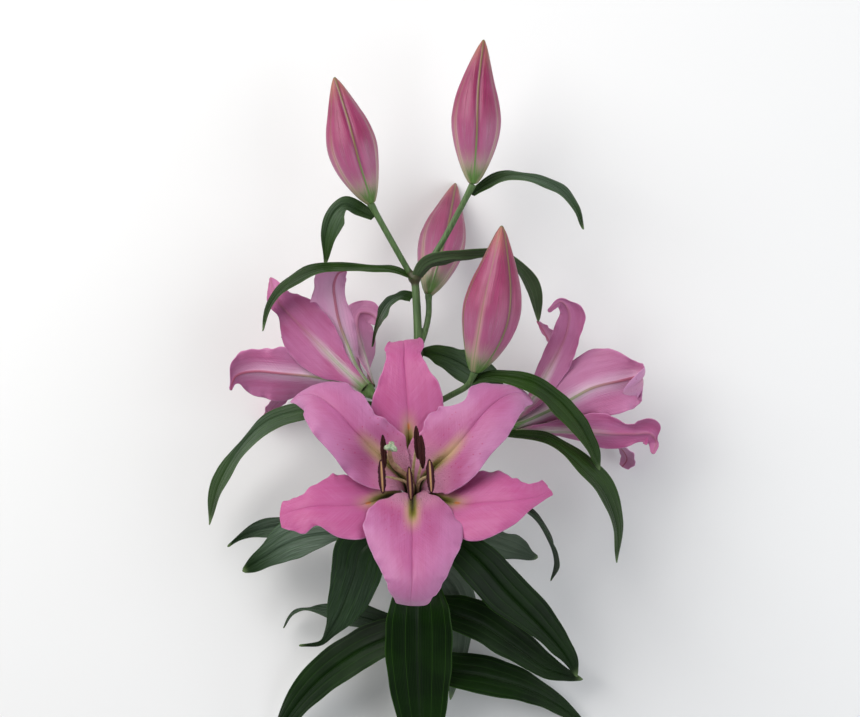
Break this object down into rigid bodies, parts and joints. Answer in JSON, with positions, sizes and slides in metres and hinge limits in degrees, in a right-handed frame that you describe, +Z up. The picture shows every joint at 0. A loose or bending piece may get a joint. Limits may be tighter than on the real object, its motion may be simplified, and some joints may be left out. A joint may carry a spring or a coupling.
{
  "type": "cut lily",
  "caption": "Cut stem of a pink oriental lily lying on its back, with open blooms, closed buds and long dark leaves.",
  "frame": {"origin": "middle of the lily's footprint, on the surface that it lies on", "axes": "+Y along the stem from its cut end towards the buds, +Z up from the surface, the way that the open front bloom faces"},
  "size_m": [0.33, 0.6221, 0.1797],
  "materials": {
    "stem": "fresh green stalk, faintly ribbed, satin",
    "leaf": "dark green waxy leaf, satin",
    "leaf_under": "grey-green leaf underside, matte",
    "petal": "soft pink tepal with pale margins, silky",
    "sepal": "soft pink outer tepal with pale margins, silky",
    "bud": "pink bud with green base and seams, satin",
    "filament": "tan filaments, with maroon anthers in the side blooms, satin",
    "pistil": "olive style with a pale stigma, waxy",
    "anther": "dark maroon pollen, matte"
  },
  "bodies": {
    "root": {"bract_bloom_left": "leaf", "bract_bloom_right": "leaf", "bract_bud_a": "leaf", "bract_bud_b": "leaf", "bract_bud_d": "leaf", "bract_stem_left": "leaf", "bud_a": "bud", "bud_b": "bud", "bud_c": "bud", "bud_d": "bud", "front_anther_1": "anther", "front_anther_2": "anther", "front_anther_3": "anther", "front_anther_4": "anther", "front_anther_5": "anther", "front_anther_6": "anther", "front_filaments": "filament", "front_petal_lower": "petal", "front_petal_upper_left": "petal", "front_petal_upper_right": "petal", "front_pistil": "pistil", "front_sepal_lower_left": "sepal", "front_sepal_lower_right": "sepal", "front_sepal_top": "sepal", "leaf_behind_bud": "leaf", "leaf_big_right": "leaf", "leaf_bottom_centre": "leaf", "leaf_bottom_left": "leaf", "leaf_bottom_right": "leaf", "leaf_down_left": "leaf", "leaf_fork_left": "leaf", "leaf_fork_right": "leaf", "leaf_left_lower": "leaf", "leaf_left_thin": "leaf", "leaf_left_upper": "leaf", "leaf_right_grey": "leaf_under", "leaf_right_second": "leaf", "leaf_right_twisted": "leaf", "leaf_under_right": "leaf_under", "left_filaments": "filament", "left_petal_far": "petal", "left_petal_lower": "petal", "left_petal_upper": "petal", "left_pistil": "pistil", "left_sepal_lower": "sepal", "left_sepal_near": "sepal", "left_sepal_upper": "sepal", "right_filaments": "filament", "right_petal_lower": "petal", "right_petal_near": "petal", "right_petal_upper": "petal", "right_pistil": "pistil", "right_sepal_far": "sepal", "right_sepal_lower": "sepal", "right_sepal_upper": "sepal", "stem": "stem"}
  },
  "joints": []
}
